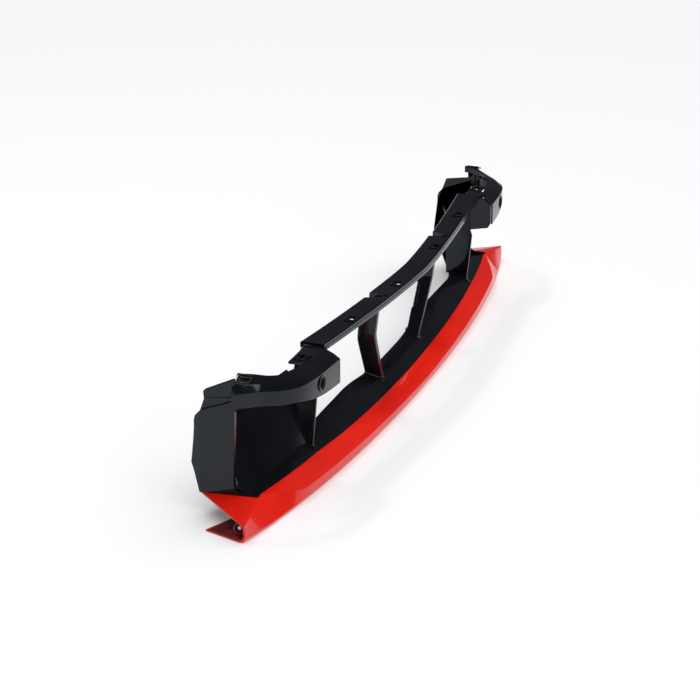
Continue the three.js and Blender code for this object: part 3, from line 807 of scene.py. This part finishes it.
# ---- rims round the clips ----
SQUARE = ((-1, -1), (1, -1), (1, 1), (-1, 1))


def make_clip_rim(name, node, sink=0.0, tilt=0.0):
    """Raised frame round a clip's pocket, and the floor plate under the clip."""
    low, high = corners(node)
    middle = (low + high) / 2
    half = (high - low) / 2
    outer = (half.x + 2.6, half.y + 2.6)
    inner = (half.x + 0.2, half.y + 0.2)
    below, proud = -1.4, 1.7
    points = []
    for (reach_x, reach_y), z in ((outer, below), (outer, proud), (inner, proud), (inner, below)):
        for a, b in SQUARE:
            points.append((middle.x + a * reach_x, middle.y - NOSE + b * reach_y,
                           high.z + z - sink + tilt * a * reach_x))
    faces = []
    for k in range(4):
        here, beyond = k * 4, (k + 1) % 4 * 4
        for i in range(4):
            j = (i + 1) % 4
            faces.append([here + i, here + j, beyond + j, beyond + i])
    finish_piece(bevel(mesh_piece(name, points, faces, BLACK), 0.5, segments=2))

    floor = [(middle.x + a * inner[0], middle.y - NOSE + b * inner[1]) for a, b in SQUARE]
    rings = [[(x, y, low.z - 0.6 + z + tilt * (x - middle.x) - sink * 0.3) for x, y in floor]
             for z in (0, 1)]
    finish_piece(loft(f"{name}_floor", rings, BLACK))


def make_tab_bridge(side, sign):
    """Flat web that joins the clip tab to the rail's end and the fin."""
    low, high = corners(f"clip_tab_{side}")
    inner = corners("rail_tray_right")[1].x - 1
    outer = max(abs(low.x), abs(high.x)) - 30
    front, rear = low.y - NOSE - 9, high.y - NOSE
    under, top = high.z - 2.6, high.z - 0.1
    outline = rounded([(front, under, 0.4), (front, top, 0.9), (rear, top, 0.9),
                       (rear, under, 0.4)])
    rings = [across(sign * x, outline) for x in (inner, outer)]
    finish_piece(loft(f"tab_bridge_{side}", rings, BLACK, sharp=40))


# ---- CAD pieces that keep their shape ----
RAIL_NODES = ("rail_front_strip", "rail_tray_centre", "rail_tray_right", "rail_tray_left")
PAIRED_LOOKS = (
    (BLACK, ("side_wall", "clip_tab")),
    (SATIN, ("corner_clip", "sensor_holder", "rail_clip_outer", "rail_clip_inner", "tab_clip")),
    (OVERSPRAY, ("lip_end_boss",)),
    (ZINC, ("lip_end_screw", "deck_screw_1", "deck_screw_2", "deck_screw_3")),
)


def dress(node, look, edge=0.4):
    """Gives a CAD node its look and slightly rounded edges."""
    obj = nodes[node]
    obj.data.materials.clear()
    obj.data.materials.append(look)
    flat = obj.modifiers.new("merge flats", "DECIMATE")
    flat.decimate_type = "DISSOLVE"
    flat.angle_limit = math.radians(0.6)
    bevel(obj, edge, segments=2, angle=35)


def dress_cad():
    for node in RAIL_NODES:
        dress(node, BLACK, 0.5)
    for side, _ in SIDES:
        for look, names in PAIRED_LOOKS:
            for name in names:
                dress(f"{name}_{side}", look)


# ---- stage, in metres ----
FLOOR_HALF = 14.0
DOME_STRENGTH = 2.95
DOME_ANGLE = 100                # degrees across, so that the shadows are soft
DOME_TURN = (12, 10, 0)
SKY_COLOR = (0.85, 0.93, 1.0, 1)
SKY_STRENGTH = 0.07
# The camera's place and axes, matched to the photograph by point; in millimetres.
CAMERA_AT = (-2621.75, -821.54, 1128.32)
CAMERA_FORWARD = Vector((0.87564, 0.31585, -0.36537))
CAMERA_RIGHT = Vector((0.33931, -0.94067, 0.0))
CAMERA_LENS = 102.857           # 2000 px of focal length across 700 px
SENSOR_WIDTH = 36


def make_stage():
    mesh = bpy.data.meshes.new("floor")
    mesh.from_pydata([(a * FLOOR_HALF, b * FLOOR_HALF, cad_box[0].z) for a, b in SQUARE],
                     [], [[0, 1, 2, 3]])
    mesh.materials.append(make_floor())
    floor = bpy.data.objects.new("floor", mesh)
    bpy.context.scene.collection.objects.link(floor)


def add_area(name, position, target, size, power):
    data = bpy.data.lights.new(name, "AREA")
    data.shape = "RECTANGLE"
    data.size, data.size_y = size
    data.energy = power
    obj = bpy.data.objects.new(name, data)
    obj.location = position
    aim = Vector(target) - Vector(position)
    obj.rotation_euler = aim.to_track_quat("-Z", "Y").to_euler()
    bpy.context.scene.collection.objects.link(obj)


def make_lights():
    """A wide sun that gloss doesn't mirror, and two soft boxes for the highlights."""
    sun = bpy.data.lights.new("dome", "SUN")
    sun.energy = DOME_STRENGTH
    sun.angle = math.radians(DOME_ANGLE)
    obj = bpy.data.objects.new("dome", sun)
    obj.rotation_euler = [math.radians(a) for a in DOME_TURN]
    obj.visible_glossy = False
    bpy.context.scene.collection.objects.link(obj)
    add_area("top_strip", position=(0.15, 0.95, 2.2), target=(0, 0, 0.1), size=(0.5, 0.12),
             power=5)
    add_area("front_box", position=(-1.9, -2.6, 1.3), target=(-0.1, 0, 0.1), size=(1.4, 0.6),
             power=8)
    world = bpy.data.worlds.new("studio")
    world.use_nodes = True
    world.node_tree.nodes["Background"].inputs["Color"].default_value = SKY_COLOR
    world.node_tree.nodes["Background"].inputs["Strength"].default_value = SKY_STRENGTH
    bpy.context.scene.world = world
    bpy.context.scene.view_settings.view_transform = "Standard"


def make_camera():
    data = bpy.data.cameras.new("camera")
    data.lens = CAMERA_LENS
    data.sensor_width = SENSOR_WIDTH
    data.clip_end = 60
    camera = bpy.data.objects.new("camera", data)
    forward = CAMERA_FORWARD.normalized()
    right = CAMERA_RIGHT.normalized()
    up = right.cross(forward)
    turn = Matrix((right, up, -forward)).transposed()
    camera.matrix_world = Matrix.Translation(place(*CAMERA_AT)) @ turn.to_4x4()
    bpy.context.scene.collection.objects.link(camera)
    bpy.context.scene.camera = camera


make_camera()
make_stage()
make_lights()
make_lip()
make_deck()
make_shoulder()
for side, sign in SIDES:
    make_fin(side, sign)
    make_duct_back(side, sign)
    make_side_shell(side, sign)
    make_hook(side, sign)
    make_hook_end(side, sign)
    make_strut(side, sign)
    make_clip_rim(f"clip_rim_outer_{side}", f"rail_clip_outer_{side}")
    make_clip_rim(f"clip_rim_inner_{side}", f"rail_clip_inner_{side}")
    make_clip_rim(f"clip_rim_tab_{side}", f"tab_clip_{side}")
    make_clip_rim(f"clip_rim_corner_{side}", f"corner_clip_{side}", sink=2.4, tilt=-0.36 * sign)
    make_tab_bridge(side, sign)
dress_cad()
